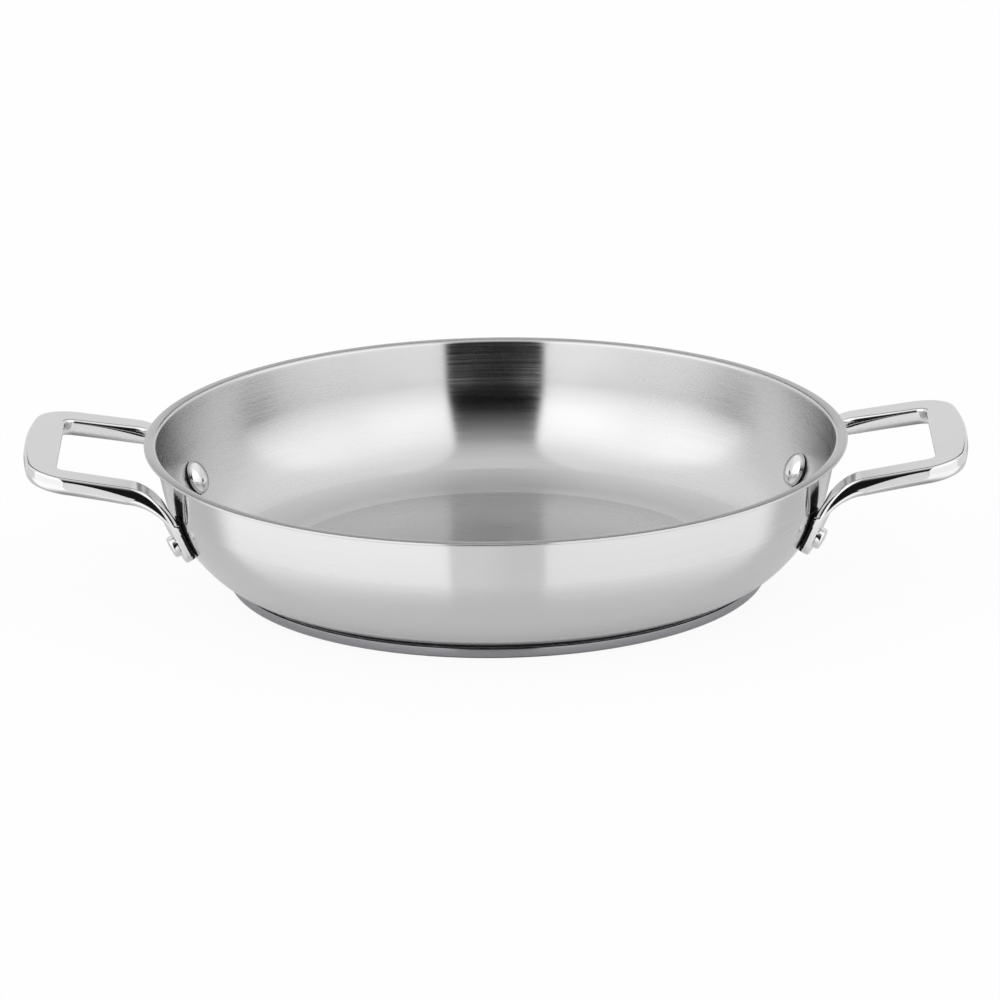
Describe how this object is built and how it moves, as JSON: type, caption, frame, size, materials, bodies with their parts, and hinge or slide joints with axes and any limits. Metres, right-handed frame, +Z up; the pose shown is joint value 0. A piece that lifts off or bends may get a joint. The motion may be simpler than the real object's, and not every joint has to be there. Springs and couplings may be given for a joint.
{
  "type": "omelet pan",
  "caption": "Low round stainless steel pan with curved sides, a flat pouring rim, a capped heat-spreading base and riveted polished loop handles on opposite sides.",
  "frame": {"origin": "Centre of the base cap's flat underside, where the pan stands on the hob.", "axes": "+X through the middle of the right-hand handle in the picture, +Y away from the viewer, +Z up."},
  "size_m": [0.3754, 0.28, 0.0582],
  "materials": {
    "body_steel": "stainless steel, satin inside with fine turned lines, polished outside",
    "core_aluminium": "plain rolled aluminium, hidden in use",
    "cap_steel": "stainless steel, satin, turned",
    "handle_steel": "solid stainless steel, mirror polished",
    "rivet_steel": "stainless steel, polished domed heads"
  },
  "bodies": {
    "root": {"pan_body": "body_steel", "base_core": "core_aluminium", "base_cap": "cap_steel", "handle_left": "handle_steel", "handle_right": "handle_steel", "rivet_left_front": "rivet_steel", "rivet_left_rear": "rivet_steel", "rivet_right_front": "rivet_steel", "rivet_right_rear": "rivet_steel"}
  },
  "joints": []
}
